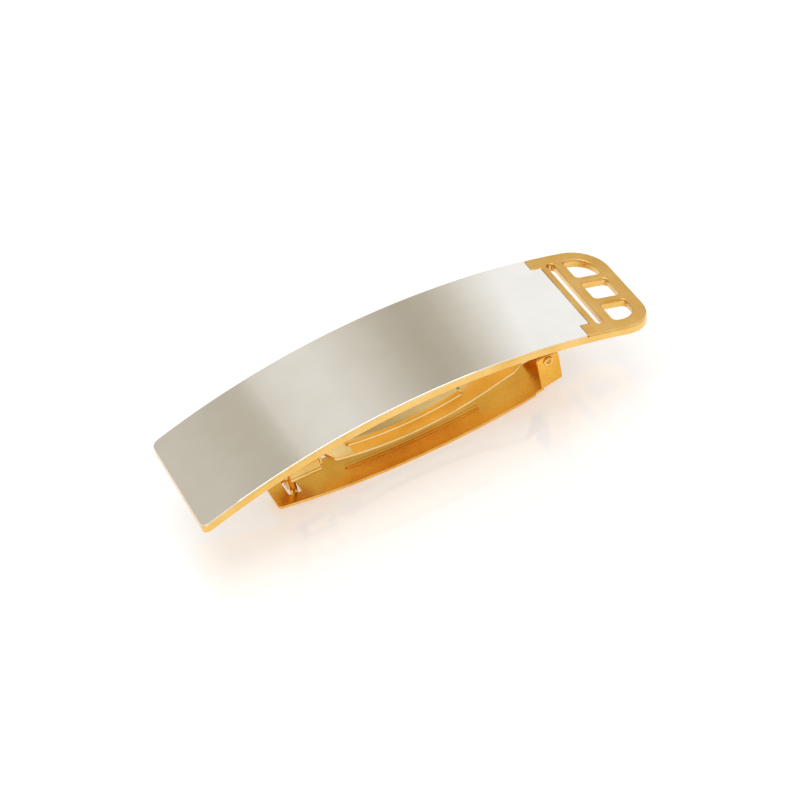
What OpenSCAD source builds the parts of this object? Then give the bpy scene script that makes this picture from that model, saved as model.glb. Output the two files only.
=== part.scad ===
// Arched hair barrette: a silver cover sheet and a pierced gold end on a gold backing
// plate, with a French clip below it (closing bar, tension bar and pinch catch).
// X runs along the clip towards the pierced end, Y across it and Z up.
// The origin is on the surface it rests on, under the middle of the plate.

/* [Plate] */
// Overall length of the plate
overall_l = 94; // [86:0.5:113]
// Width of the plate
plate_w = 26.4; // [22:0.2:32]
// Height of the crown of the plate above the surface that the clip rests on
crown_h = 22.5; // [21:0.25:27]
// Radius of the arched upper face
arch_r = 147.5; // [123:0.5:180]
// Thickness of the silver cover sheet and of the pierced end's upper layer
cover_t = 0.5; // [0.4:0.05:0.8]
// Thickness of the gold backing plate
back_t = 1.5; // [1.2:0.05:2]
// Corner radius at the plain end
plain_corner_r = 1.4; // [0.5:0.1:3]
// Corner radius at the pierced end
pierced_corner_r = 6.5; // [5:0.1:9]

/* [Pierced end] */
// Length of the pierced end, measured along X from its thin cross strip
pierced_l = 12.6; // [12:0.1:15]
// Width of the two lugs that reach into the cover sheet
lug_w = 3.4; // [2.4:0.1:4.4]
// How far the lugs reach past the cross strip
lug_l = 1.9; // [1:0.1:3]
// Width of the thin cross strip next to the cover sheet
strip_w = 1.3; // [1:0.1:2]
// Width of the long cross slot
slot_w = 1.5; // [1:0.1:2]
// Width of the stem between the slot and the window panes
stem_w = 1.9; // [1.4:0.1:2.4]
// Width of the border around the windows and the slot
border_w = 2.6; // [2:0.1:3.4]
// Number of window panes side by side
window_count = 3; // [2:1:4]
// Width of the bars between the windows
window_bar_w = 1.4; // [1:0.1:2]
// Corner radius of a window pane
pane_corner_r = 0.9; // [0.4:0.1:1.4]

/* [Closing bar] */
// Length of the closing bar in front of the hinge pin
bar_reach = 58; // [52:0.5:66]
// Width of the closing bar
bar_w = 9.4; // [8.6:0.1:11.5]
// Thickness of the clip's sheet metal
sheet_t = 0.6; // [0.5:0.05:0.75]
// Radius of the closing bar's bow
bar_r = 162; // [135:1:195]
// Place along X of the lowest point of the closing bar
bar_low_x = -1.2; // [-4:0.1:2]
// Length of the stiffening rib
rib_l = 29; // [20:0.5:36]
// Width of the stiffening rib
rib_w = 1.4; // [1:0.1:2]
// Height of the stiffening rib
rib_h = 0.3; // [0.15:0.05:0.4]

/* [Hinge] */
// Place of the hinge pin along X
hinge_x = 27.2; // [24:0.1:30]
// Height of the hinge pin
hinge_z = 8.7; // [7.5:0.1:10]
// Radius of the hinge pin
hinge_pin_r = 0.6; // [0.5:0.05:0.75]
// Width over the closing bar's hinge ears
ears_w = 8.6; // [7.6:0.1:9.6]
// Gap between neighbouring ears
ear_gap = 0.2; // [0.1:0.05:0.3]
// Distance from the pin to the rear edge of the closing bar
ear_back = 2.3; // [1.9:0.1:3]
// Distance from the pin to the front edge of the closing bar's ears
ear_front = 2.3; // [2:0.1:3.4]
// Length of the narrowed bar in front of the ears
neck_l = 1.4; // [0.5:0.1:2.4]
// Distance from the pin to the top edge of the closing bar's ears
ear_top = 1.2; // [1:0.1:2]
// Radial clearance of the parts that turn on a pin
running_fit = 0.05; // [0.02:0.01:0.1]

/* [Base strip] */
// Reach of the base strip from the middle of the plate, on the hinge side
base_half_l = 30.6; // [29:0.2:34]
// Distance of the base strip's other end from the free end of the closing bar
base_end_gap = 0.2; // [0:0.1:1]
// Thickness of the base strip
base_t = 0.7; // [0.5:0.05:0.9]
// Length of the window in the base strip
base_window_l = 30; // [20:1:36]
// Width of the window in the base strip
base_window_w = 3; // [2:0.1:4]
// How far the window lies towards the catch from midway between the rivets
base_window_shift = 0.2; // [0:0.1:1]
// Radius of the rivets
rivet_r = 0.8; // [0.6:0.05:1]
// Radius of the rivet heads
rivet_head_r = 1.35; // [1.1:0.05:1.6]
// Place along X of the rivet nearer the hinge
rivet_x = 20.4; // [18:0.2:22]

/* [Tension bar] */
// Thickness of the tension bar
tension_t = 0.5; // [0.4:0.05:0.6]
// Width of the tension bar
tension_w = 7.6; // [6:0.1:9]
// Radius of the tension bar's bow
tension_r = 70; // [58:1:84]
// Height of the hair gap between the closing bar and the tension bar
hair_gap = 4.9; // [4.5:0.1:5.4]
// Place along X of the lowest point of the tension bar
tension_low_x = -2; // [-4:0.1:0]
// Width of the tongue at the free end
tongue_w = 3; // [2:0.1:3.4]
// How far the free end can be pushed up by the hair
tension_travel = 2.6; // [2:0.1:3]
// Length of the raised panel on the tension bar
panel_l = 26; // [18:0.5:30]
// Width of the raised panel on the tension bar
panel_w = 2.6; // [2:0.1:3.6]

/* [Catch] */
// Distance of the middle of the catch from the free end of the closing bar
catch_x = 6.8; // [5.8:0.1:8.8]
// Length of the catch bracket along X
catch_l = 7.8; // [7:0.1:9]
// Radius of the catch pins
catch_pin_r = 0.4; // [0.3:0.05:0.5]
// Distance of each catch pin from the middle
catch_pin_y = 2.4; // [2.2:0.05:2.8]
// Height of the catch pins
catch_pin_z = 9.6; // [9:0.1:11]
// Length of each wing's leg along X
leg_l = 1.4; // [1:0.1:2]
// Gap between the two legs
leg_gap = 1.8; // [1.6:0.05:2.2]
// How far each hook reaches under the closing bar
hook_reach = 0.4; // [0.3:0.05:0.5]
// Clearance around the legs in the catch hole
hole_clear = 0.6; // [0.5:0.05:0.9]
// Clearance between the hooks and the underside of the closing bar
hook_clear = 0.12; // [0.08:0.02:0.3]

/* [Hidden] */

gold = [0.86, 0.64, 0.26];
light_gold = [0.93, 0.78, 0.48];
orange_gold = [0.88, 0.57, 0.13];
silver = [0.80, 0.78, 0.73];

arc_fn = 720;
round_fn = 48;
inlay_gap = 0.03;
step = 0.01;

half_l = overall_l / 2;
arch_z = crown_h - arch_r;
layer_r = arch_r - cover_t;
under_r = layer_r - back_t;
base_r = under_r - base_t;
bracket_r = base_r - sheet_t;

strip_x = half_l - pierced_l;
slot_x = strip_x + strip_w;
stem_x = slot_x + slot_w;
window_x = stem_x + stem_w;
window_field_w = plate_w - 2 * border_w;
window_w = (window_field_w - (window_count - 1) * window_bar_w) / window_count;
end_arc_r = pierced_corner_r - border_w;

base_w = ears_w - 2 * sheet_t - 2 * ear_gap;
eye_w = base_w - 2 * sheet_t - 2 * ear_gap;
bar_front_x = hinge_x - bar_reach;
bar_back_x = hinge_x + ear_back;
ear_front_x = hinge_x - ear_front;
neck_x = ear_front_x - neck_l;
catch_mid_x = bar_front_x + catch_x;
base_window_x = (catch_mid_x + rivet_x) / 2 - base_window_shift;
base_ear_r = hinge_pin_r + 1.1;
pin_head_r = hinge_pin_r + 0.4;
pin_head_t = 0.35;

eye_r = hinge_pin_r + running_fit + tension_t / 2;
tension_z = sheet_t + hair_gap + tension_t / 2;
bow_dx = hinge_x - tension_low_x;
bow_dz = hinge_z + eye_r - tension_z;
bow_turn = 2 * atan(bow_dz / bow_dx);
crest_r = bow_dx / sin(bow_turn) - tension_r;
eye_turn = asin(tension_t / crest_r);
bow_steps = 28;
crest_steps = 12;

catch_front_x = catch_mid_x - catch_l / 2;
catch_back_x = catch_mid_x + catch_l / 2;
catch_side_gap = 0.2;
wing_front_x = catch_front_x + sheet_t + catch_side_gap;
wing_back_x = catch_back_x - sheet_t - catch_side_gap;
leg_y = leg_gap / 2;
hole_x = wing_front_x + leg_l / 2;
hole_l = leg_l + 2 * hole_clear;
hole_half_w = leg_y + sheet_t + hole_clear;
hook_y = hole_half_w + hook_reach;
bar_under_hook_z = bar_r - sqrt(pow(bar_r, 2) - pow(hole_x + leg_l / 2 - bar_low_x, 2));
hook_top_z = bar_under_hook_z - hook_clear;
hook_t = 0.6;
barrel_r = catch_pin_r + 0.5;
curl_r = 0.65;
curl_y = catch_pin_y + 1.7;
curl_z = catch_pin_z - 1.7;
wing_t = 0.5;
tongue_end_x = catch_back_x - sheet_t - 1;
tongue_turn = asin((tongue_end_x - tension_low_x) / tension_r);
tongue_drop = tension_r - sqrt(pow(tension_r, 2) - pow(catch_back_x - tension_low_x, 2));
tongue_z = tension_z + tongue_drop;
rest_gap = 0.08;
tongue_slope_z = 0.2;
tongue_slot_low_z = tongue_z - tension_t / 2 - tongue_slope_z - rest_gap;
tongue_slot_h = tension_t + tension_travel + 2 * tongue_slope_z + 2 * rest_gap;
bracket_w = 2 * (catch_pin_y + barrel_r);
bracket_low_z = min(tongue_slot_low_z, catch_pin_z - barrel_r) - sheet_t;

// Lies the XZ drawing of its children across Y, centred, w wide.
module across(w) {
    translate([0, w / 2, 0]) rotate([90, 0, 0]) linear_extrude(w) children();
}

// Flat ring between two radii, drawn in the XZ plane about [x, z].
module ring_2d(x, z, outer, inner) {
    translate([x, z]) difference() {
        circle(outer, $fn = arc_fn);
        circle(inner, $fn = arc_fn);
    }
}

// A layer of the arched plate, w wide, between two radii about the arch's centre.
module arch_layer(outer, inner, w) {
    across(w) ring_2d(0, arch_z, outer, inner);
}

// A layer of the closing bar's bow; depth 0 is its underside.
module bow_layer(low_depth, high_depth, w) {
    across(w) ring_2d(bar_low_x, bar_r, bar_r - low_depth, bar_r - high_depth);
}

// Rectangle from x0 to x1 and w wide, with its own corner radius at each end.
module end_rounded_2d(x0, x1, w, r0, r1) {
    translate([x0 + r0, -w / 2]) square([x1 - r1 - x0 - r0, w]);
    translate([x0, -w / 2 + r0]) square([r0 + step, w - 2 * r0]);
    translate([x1 - r1 - step, -w / 2 + r1]) square([r1 + step, w - 2 * r1]);
    for (side = [-1, 1]) {
        translate([x0 + r0, side * (w / 2 - r0)]) circle(r0, $fn = round_fn);
        translate([x1 - r1, side * (w / 2 - r1)]) circle(r1, $fn = 2 * round_fn);
    }
}

// Slot with round ends along X, centred on x.
module slot_2d(x, l, w) {
    square_l = l - w;
    translate([x - square_l / 2, -w / 2]) square([square_l, w]);
    for (side = [-1, 1])
        translate([x + side * square_l / 2, 0]) circle(w / 2, $fn = round_fn);
}

// Outline of the whole plate, seen from above.
module plate_2d() {
    end_rounded_2d(-half_l, half_l, plate_w, plain_corner_r, pierced_corner_r);
}

// Outline of the pierced end, with its two lugs.
module pierced_2d() {
    intersection() {
        plate_2d();
        union() {
            translate([strip_x, -plate_w / 2]) square([pierced_l, plate_w]);
            for (side = [-1, 1])
                translate([strip_x - lug_l, side * (plate_w - lug_w) / 2 - lug_w / 2])
                    square([lug_l + step, lug_w]);
        }
    }
}

// Long cross slot and the row of window panes, the outer two cut by the rounded end.
module openwork_2d() {
    translate([slot_x + slot_w / 2, 0]) rotate(90) slot_2d(0, window_field_w, slot_w);
    intersection() {
        end_rounded_2d(-half_l, half_l - border_w, window_field_w, 1, end_arc_r);
        for (i = [0:window_count - 1])
            translate([0, (i - (window_count - 1) / 2) * (window_w + window_bar_w)])
                end_rounded_2d(window_x, half_l - border_w, window_w, pane_corner_r, pane_corner_r);
    }
}

// Places its children along a radius of the arch that crosses the base strip at x.
module on_radius(x) {
    translate([0, 0, arch_z]) rotate([0, asin(x / base_r), 0]) children();
}

// Rivet shank from its blind end in the backing plate down to its head.
module rivet(x, seat_r) {
    shank_end_r = under_r + 0.7 * back_t;
    on_radius(x) {
        translate([0, 0, seat_r - 0.02])
            cylinder(h = shank_end_r - seat_r + 0.02, r = rivet_r, $fn = round_fn);
        translate([0, 0, seat_r - 0.02]) rivet_head();
    }
}

// Low domed head that hangs below its seat.
module rivet_head() {
    head_t = 0.55;
    rotate_extrude($fn = round_fn) intersection() {
        translate([0, -head_t]) square([rivet_head_r, head_t]);
        translate([0, 1.6 - head_t]) circle(1.6, $fn = round_fn);
    }
}

// Bore for a rivet, through the base strip and blind in the backing plate.
module rivet_bore(x) {
    low_r = bracket_r - 1;
    on_radius(x) translate([0, 0, low_r])
        cylinder(h = under_r + 0.7 * back_t - low_r, r = rivet_r, $fn = round_fn);
}

// Straight pin along Y at the hinge, with length l and radius r.
module hinge_rod(l, r) {
    translate([hinge_x, l / 2, hinge_z]) rotate([90, 0, 0]) cylinder(h = l, r = r, $fn = round_fn);
}

// Rod along X through the catch on one side.
module catch_rod(side, x0, x1, r) {
    translate([x0, side * catch_pin_y, catch_pin_z]) rotate([0, 90, 0])
        cylinder(h = x1 - x0, r = r, $fn = round_fn);
}

// Polished silver sheet on the backing plate, notched for the pierced end.
module cover_sheet() {
    color(silver) intersection() {
        arch_layer(arch_r, layer_r, plate_w + 2);
        linear_extrude(crown_h + 1) difference() {
            plate_2d();
            translate([strip_x - inlay_gap, -plate_w]) square([pierced_l + 1, 2 * plate_w]);
            for (side = [-1, 1])
                translate([strip_x - lug_l - inlay_gap, side * plate_w / 2 - lug_w - inlay_gap])
                    square([lug_l + 1, 2 * (lug_w + inlay_gap)]);
        }
    }
}

// Upper layer of the pierced gold end.
module end_ornament() {
    color(gold) intersection() {
        arch_layer(arch_r, layer_r, plate_w + 2);
        linear_extrude(crown_h + 1) difference() {
            pierced_2d();
            openwork_2d();
        }
    }
}

// Gold plate under the cover sheet and the pierced end.
module back_plate() {
    color(light_gold) difference() {
        intersection() {
            arch_layer(layer_r, under_r, plate_w + 2);
            linear_extrude(crown_h + 1) difference() {
                plate_2d();
                openwork_2d();
            }
        }
        rivet_bore(rivet_x);
        rivet_bore(catch_mid_x);
    }
}

// One hinge ear of the base strip, drawn in the XZ plane.
module base_ear_2d() {
    spread = 1.4;
    intersection() {
        ring_2d(0, arch_z, under_r - base_t / 2, under_r / 2);
        union() {
            translate([hinge_x, hinge_z]) circle(base_ear_r, $fn = round_fn);
            polygon([[hinge_x - base_ear_r, hinge_z], [hinge_x + base_ear_r, hinge_z],
                     [hinge_x + base_ear_r + spread / 2, crown_h], [hinge_x - base_ear_r - spread, crown_h]]);
        }
    }
}

// Arched strip riveted under the plate, with a long window and the fixed hinge ears.
module base_strip() {
    color(light_gold) difference() {
        union() {
            intersection() {
                arch_layer(under_r, base_r, base_w);
                linear_extrude(crown_h + 1) difference() {
                    end_rounded_2d(bar_front_x + base_end_gap, base_half_l, base_w, 1.2, 1.2);
                    slot_2d(base_window_x, base_window_l, base_window_w);
                }
            }
            for (side = [-1, 1])
                translate([0, side * (base_w - sheet_t) / 2, 0]) across(sheet_t) base_ear_2d();
        }
        hinge_rod(base_w + 2, hinge_pin_r);
        rivet_bore(rivet_x);
        rivet_bore(catch_mid_x);
    }
}

// Rivet at the hinge side of the base strip.
module rivet_hinge_side() {
    color(gold) rivet(rivet_x, base_r);
}

// Rivet that holds the catch bracket and the base strip.
module rivet_catch_side() {
    color(gold) rivet(catch_mid_x, bracket_r);
}

// Hinge pin with a head at each end.
module hinge_pin() {
    head_gap = 0.05;
    head_y = ears_w / 2 + head_gap;
    color(gold) {
        hinge_rod(2 * head_y + step, hinge_pin_r);
        for (side = [-1, 1])
            translate([hinge_x, side * (head_y + pin_head_t / 2) + pin_head_t / 2, hinge_z])
                rotate([90, 0, 0]) cylinder(h = pin_head_t, r = pin_head_r, $fn = round_fn);
    }
}

// Bracket with two end plates that carry the catch pins and guide the tongue.
module catch_bracket() {
    color(gold) difference() {
        union() {
            intersection() {
                arch_layer(base_r, bracket_r, bracket_w);
                translate([catch_front_x, -bracket_w / 2, 0]) cube([catch_l, bracket_w, crown_h]);
            }
            for (x = [catch_front_x, catch_back_x - sheet_t])
                intersection() {
                    arch_layer(base_r - sheet_t / 2, base_r / 2, bracket_w);
                    translate([x, 0, bracket_low_z]) catch_end_plate();
                }
        }
        rivet_bore(catch_mid_x);
        for (side = [-1, 1])
            catch_rod(side, catch_front_x - 1, catch_back_x + 1, catch_pin_r);
        translate([catch_back_x - 2 * sheet_t, -tongue_w / 2 - catch_side_gap, tongue_slot_low_z])
            cube([4 * sheet_t, tongue_w + 2 * catch_side_gap, tongue_slot_h]);
    }
}

// End plate of the bracket with rounded lower corners, standing at x = 0.
module catch_end_plate() {
    h = crown_h - bracket_low_z;
    r = 0.9;
    rotate([90, 0, 90]) linear_extrude(sheet_t) {
        translate([-bracket_w / 2, r]) square([bracket_w, h - r]);
        translate([-bracket_w / 2 + r, 0]) square([bracket_w - 2 * r, r + step]);
        for (side = [-1, 1])
            translate([side * (bracket_w / 2 - r), r]) circle(r, $fn = round_fn);
    }
}

// Pin of one catch wing, with a small head towards the middle of the clip.
module catch_pin(side) {
    color(gold) {
        catch_rod(side, catch_front_x - 0.25, catch_back_x + step, catch_pin_r);
        catch_rod(side, catch_back_x, catch_back_x + 0.3, catch_pin_r + 0.22);
    }
}

module catch_pin_near() {
    catch_pin(-1);
}

module catch_pin_far() {
    catch_pin(1);
}

// Bowed bar with its rib, catch hole and two hinge ears.
module closing_bar() {
    color(orange_gold) difference() {
        union() {
            intersection() {
                bow_layer(0, sheet_t, bar_w);
                translate([0, 0, -1]) linear_extrude(hinge_z) closing_bar_2d();
            }
            intersection() {
                bow_layer(sheet_t / 2, sheet_t + rib_h, bar_w);
                translate([0, 0, -1]) linear_extrude(hinge_z) slot_2d(bar_low_x, rib_l, rib_w);
            }
            for (side = [-1, 1])
                translate([0, side * (ears_w - sheet_t) / 2, 0]) across(sheet_t) closing_ear_2d();
        }
        intersection() {
            bow_layer(-1, rib_h, bar_w);
            translate([0, 0, -1]) linear_extrude(hinge_z)
                slot_2d(bar_low_x, rib_l - sheet_t, rib_w - sheet_t);
        }
        translate([hole_x - hole_l / 2, -hole_half_w, -1]) cube([hole_l, 2 * hole_half_w, hinge_z]);
        hinge_rod(ears_w + 2, hinge_pin_r + running_fit);
    }
}

// Outline of the closing bar from above: it steps in to the width over its ears.
module closing_bar_2d() {
    translate([bar_front_x, -bar_w / 2]) square([neck_x - bar_front_x, bar_w]);
    translate([neck_x - step, -ears_w / 2]) square([bar_back_x - neck_x + step, ears_w]);
}

// One hinge ear of the closing bar, drawn in the XZ plane.
module closing_ear_2d() {
    r = 0.8;
    top_z = hinge_z + ear_top;
    intersection() {
        ring_2d(bar_low_x, bar_r, bar_r - sheet_t / 2, bar_r / 2);
        union() {
            translate([ear_front_x, 0]) square([ear_front + ear_back, top_z - r]);
            translate([ear_front_x + r, 0]) square([ear_front + ear_back - 2 * r, top_z]);
            for (x = [ear_front_x + r, bar_back_x - r])
                translate([x, top_z - r]) circle(r, $fn = round_fn);
        }
    }
}

// Point of the tension bar's bow at angle a past its lowest point, lift above the middle of the strip.
function bow_point(a, lift) = [tension_low_x + (tension_r - lift) * sin(a),
                               tension_z + tension_r - (tension_r - lift) * cos(a)];

// Point of the crest that carries the bow on to the eye, at angle a before the pin.
function crest_point(a, lift) = [hinge_x - (crest_r + lift) * sin(a),
                                 hinge_z + eye_r - crest_r + (crest_r + lift) * cos(a)];

// One side of the strip from its tongue to the eye, lift above the strip's middle.
function strip_side(lift) = concat(
    [for (i = [0:bow_steps]) bow_point(tongue_turn + (bow_turn - tongue_turn) * i / bow_steps, lift)],
    [for (i = [1:crest_steps]) crest_point(bow_turn + (eye_turn - bow_turn) * i / crest_steps, lift)]);

// Side of the tension bar in the XZ plane: the strip and the eye around the pin.
module tension_side_2d() {
    lower = strip_side(-tension_t / 2);
    upper = strip_side(tension_t / 2);
    last = len(upper) - 1;
    polygon(concat(lower, [for (i = [0:last]) upper[last - i]]));
    translate([hinge_x, hinge_z]) difference() {
        circle(eye_r + tension_t / 2, $fn = 2 * round_fn);
        circle(hinge_pin_r + running_fit, $fn = 2 * round_fn);
    }
}

// Bowed spring bar between the base strip and the closing bar.
module tension_bar() {
    color(light_gold) {
        intersection() {
            across(tension_w + 2) tension_side_2d();
            linear_extrude(crown_h) tension_2d();
        }
        intersection() {
            across(panel_w + 2)
                ring_2d(tension_low_x, tension_z + tension_r, tension_r, tension_r - tension_t / 2 - rib_h);
            linear_extrude(hinge_z + tension_r / 2) slot_2d(tension_low_x, panel_l, panel_w);
        }
    }
}

// Outline of the tension bar from above: tongue, wide bar and narrow eye.
module tension_2d() {
    shoulder_x = catch_back_x + 1;
    waist_x = neck_x - 1;
    taper_x = waist_x - 2.4;
    polygon([[tongue_end_x, -tongue_w / 2], [shoulder_x, -tongue_w / 2], [shoulder_x + 1.6, -tension_w / 2],
             [taper_x, -tension_w / 2], [waist_x, -eye_w / 2], [hinge_x + 3, -eye_w / 2],
             [hinge_x + 3, eye_w / 2], [waist_x, eye_w / 2], [taper_x, tension_w / 2],
             [shoulder_x + 1.6, tension_w / 2], [shoulder_x, tongue_w / 2], [tongue_end_x, tongue_w / 2]]);
}

// Finger pad of a wing, drawn in the YZ plane for the far side.
module wing_pad_2d() {
    half_t = wing_t / 2 / sqrt(2);
    translate([catch_pin_y, catch_pin_z]) circle(barrel_r, $fn = round_fn);
    polygon([[catch_pin_y + half_t, catch_pin_z + half_t], [catch_pin_y - half_t, catch_pin_z - half_t],
             [curl_y - half_t, curl_z - half_t], [curl_y + half_t, curl_z + half_t]]);
    translate([curl_y, curl_z]) circle(curl_r, $fn = round_fn);
}

// Leg of a wing with its hook, drawn in the YZ plane for the far side.
module wing_leg_2d() {
    shoulder_z = catch_pin_z - 1.2;
    hook_low_z = hook_top_z - hook_t;
    ramp = 0.4;
    polygon([[leg_y, hook_low_z], [hook_y - ramp, hook_low_z], [hook_y, hook_top_z - hook_t / 2],
             [hook_y, hook_top_z], [leg_y + sheet_t, hook_top_z], [leg_y + sheet_t, shoulder_z],
             [catch_pin_y, catch_pin_z - barrel_r / 2], [catch_pin_y, catch_pin_z + barrel_r / 2],
             [leg_y, shoulder_z + sheet_t]]);
}

// Sprung wing: pinching its curled edge draws the hook in through the catch hole.
module catch_wing(side) {
    color(gold) difference() {
        mirror([0, side < 0 ? 1 : 0, 0]) union() {
            translate([wing_front_x, 0, 0]) rotate([90, 0, 90])
                linear_extrude(wing_back_x - wing_front_x) wing_pad_2d();
            translate([wing_front_x, 0, 0]) rotate([90, 0, 90]) linear_extrude(leg_l) wing_leg_2d();
        }
        catch_rod(side, catch_front_x - 1, catch_back_x + 1, catch_pin_r + running_fit);
    }
}

module catch_wing_near() {
    catch_wing(-1);
}

module catch_wing_far() {
    catch_wing(1);
}

cover_sheet();
end_ornament();
back_plate();
base_strip();
rivet_hinge_side();
rivet_catch_side();
hinge_pin();
catch_bracket();
catch_pin_near();
catch_pin_far();
closing_bar();
tension_bar();
catch_wing_near();
catch_wing_far();
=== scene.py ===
"""Looks of an arched hair barrette: a silver cover sheet, a pierced gold end and a French clip.

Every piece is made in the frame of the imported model, in metres: X along the clip towards the
pierced end, Y across the plate, Z up, with the surface it rests on at Z = 0.
"""

import logging
import math
from dataclasses import dataclass, field
from enum import Enum
from typing import Iterable, Optional, Sequence

import bmesh
import bpy
from mathutils import Matrix, Vector


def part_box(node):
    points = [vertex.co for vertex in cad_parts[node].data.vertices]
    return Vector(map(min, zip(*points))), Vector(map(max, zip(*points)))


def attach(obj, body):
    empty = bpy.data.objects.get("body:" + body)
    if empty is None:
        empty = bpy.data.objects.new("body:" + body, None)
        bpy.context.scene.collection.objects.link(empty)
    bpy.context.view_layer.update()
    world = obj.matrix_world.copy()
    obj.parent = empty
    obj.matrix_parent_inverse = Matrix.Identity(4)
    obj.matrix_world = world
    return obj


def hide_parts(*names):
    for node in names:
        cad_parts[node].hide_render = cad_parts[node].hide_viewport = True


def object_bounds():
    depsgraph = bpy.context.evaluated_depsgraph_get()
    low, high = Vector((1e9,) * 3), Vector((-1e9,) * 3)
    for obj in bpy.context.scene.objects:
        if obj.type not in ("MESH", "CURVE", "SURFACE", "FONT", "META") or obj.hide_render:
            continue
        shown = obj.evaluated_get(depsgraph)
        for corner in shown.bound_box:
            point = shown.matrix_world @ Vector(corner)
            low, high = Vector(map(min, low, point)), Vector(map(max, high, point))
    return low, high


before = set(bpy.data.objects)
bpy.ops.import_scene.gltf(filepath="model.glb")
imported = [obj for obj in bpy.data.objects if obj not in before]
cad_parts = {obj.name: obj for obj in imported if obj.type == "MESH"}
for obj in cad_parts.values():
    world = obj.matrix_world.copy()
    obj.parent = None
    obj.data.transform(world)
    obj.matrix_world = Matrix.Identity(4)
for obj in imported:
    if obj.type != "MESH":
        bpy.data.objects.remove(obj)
CAD_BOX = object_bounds()

MM = 0.001
Point2 = tuple[float, float]
Triple = tuple[float, float, float]
Piece = bpy.types.Object
Socket = bpy.types.NodeSocket
Vert = bmesh.types.BMVert
Inputs = dict[int | str, object]
log = logging.getLogger("barrette")

# Fineness of the meshes.
CORNER_STEPS = 8  # stretches in a quarter turn of an outline's corner
BEVEL_STEPS = 4  # stretches across a rounded edge
FOOT_STEPS = 7  # bends across the foot of a rib
ROUND_END_STEPS = 10  # bends along the round end of a rib
TURNED_STEPS = 40  # sides of a turned piece
RIM = 0.6  # flat rim inside a rounded edge, as a share of the edge's radius
LEAST_MITRE = 0.35  # cosine below which a corner's mitre grows no longer
WELD = 0.0005 * MM  # vertices closer than this become one
ON_CUT = 0.002 * MM  # vertices this close to a cut lie on it
ROUND_END = 0.499  # corner radius that makes a slot's end round, as a share of its width
SAME_PLANE = 0.01  # angle below which faces of a cap become one, in radians


class Way(Enum):
    """Which way an arc bends: over its centre like a roof, or under it like a cradle."""

    ARCH = 1.0
    CRADLE = -1.0


class Grain(Enum):
    """Direction of the fine polishing lines in a metal finish."""

    ALONG = (9.0, 140.0, 140.0)
    ACROSS = (140.0, 9.0, 140.0)
    NONE = (60.0, 60.0, 60.0)


class Turn(Enum):
    """How a piece made flat is turned: the rows give its new X, Y and Z from its x, y and z."""

    CROSSWISE = ((0, 1, 0), (-1, 0, 0), (0, 0, 1))
    UPRIGHT = ((1, 0, 0), (0, 0, -1), (0, 1, 0))
    UPRIGHT_CROSSWISE = ((0, 0, 1), (-1, 0, 0), (0, 1, 0))
    MIRRORED = ((1, 0, 0), (0, -1, 0), (0, 0, 1))


# --------------------------------------------------------------------------- nodes


class Graph:
    """A node tree in the making, with short calls to add nodes and to fill their inputs."""

    def __init__(self, data: bpy.types.NodeTree) -> None:
        """Takes the node tree that the nodes go into."""
        self.data = data

    def feed(self, node: bpy.types.Node, inputs: Inputs) -> bpy.types.Node:
        """Fills some inputs of a node.

        Args:
            node: The node.
            inputs: For each input's name or number, a socket to link or a value to set;
                None leaves the input as it is.

        Returns:
            The same node.
        """
        for key, value in inputs.items():
            if isinstance(value, Socket):
                self.data.links.new(value, node.inputs[key])
            elif value is not None:
                node.inputs[key].default_value = value
        return node

    def node(self, kind: str, inputs: Optional[Inputs] = None,
             **settings: object) -> bpy.types.Node:
        """Adds a node, sets its properties and then fills its inputs."""
        made = self.data.nodes.new(kind)
        for key, value in settings.items():
            setattr(made, key, value)
        return self.feed(made, inputs or {})

    def math(self, operation: str, first: object, second: object = 0.0) -> Socket:
        """Adds a Math node on two sockets or numbers, and returns its result."""
        return self.node("ShaderNodeMath", {0: first, 1: second}, operation=operation).outputs[0]

    def spread(self, value: Socket, source: Point2, target: Point2 = (0.0, 1.0)) -> Socket:
        """Maps a value from one range to another and keeps it inside.

        Args:
            value: The socket with the value.
            source: The range that it comes from.
            target: The range that it goes to.

        Returns:
            The socket with the mapped value.
        """
        ranges = dict(zip(("From Min", "From Max", "To Min", "To Max"), (*source, *target)))
        return self.node("ShaderNodeMapRange", {"Value": value} | ranges).outputs["Result"]

    def blend(self, share: Socket, first: object, second: object) -> Socket:
        """Mixes two colours, each given as a socket or as three numbers."""
        a, b = (item if isinstance(item, Socket) else (*item, 1.0) for item in (first, second))
        made = self.node("ShaderNodeMix", {"Factor": share, "A": a, "B": b}, data_type="RGBA")
        return made.outputs["Result"]

    def noise(self, stretch: Optional[Sequence[float]], scale: float, detail: float) -> Socket:
        """Adds a noise texture in Object coordinates.

        Args:
            stretch: Scale along each axis.
            scale: Scale of the noise, per metre.
            detail: Octaves of the noise.

        Returns:
            The noise's value socket.
        """
        place = self.node("ShaderNodeTexCoord").outputs["Object"]
        place = self.node("ShaderNodeMapping", {"Vector": place, "Scale": stretch}).outputs["Vector"]
        inputs = {"Vector": place, "Scale": scale, "Detail": detail}
        return self.node("ShaderNodeTexNoise", inputs).outputs["Fac"]

    def bump(self, height: Socket, strength: float, depth: float,
             below: Optional[Socket] = None) -> Socket:
        """Adds a Bump node, on top of another one's normal if there is one."""
        inputs = {"Height": height, "Strength": strength, "Distance": depth, "Normal": below}
        return self.node("ShaderNodeBump", inputs).outputs["Normal"]


# --------------------------------------------------------------------------- finishes

EVEN = (1.0, 1.0, 1.0)
TONE_SCALE, TONE_DETAIL, TONE_RANGE = 180.0, 4.0, (0.35, 0.62)
# Noise range that breaks up the lightened edges, which are partly wear and partly a painted highlight.
WEAR_AND_HIGHLIGHT_RANGE = (0.3, 0.7)
LINE_SCALE, LINE_DETAIL, LINE_RANGE, LINE_DEPTH = 90.0, 3.0, (0.3, 0.7), 0.02 * MM
WAVE_DETAIL, WAVE_DEPTH = 1.5, 0.5 * MM


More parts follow.
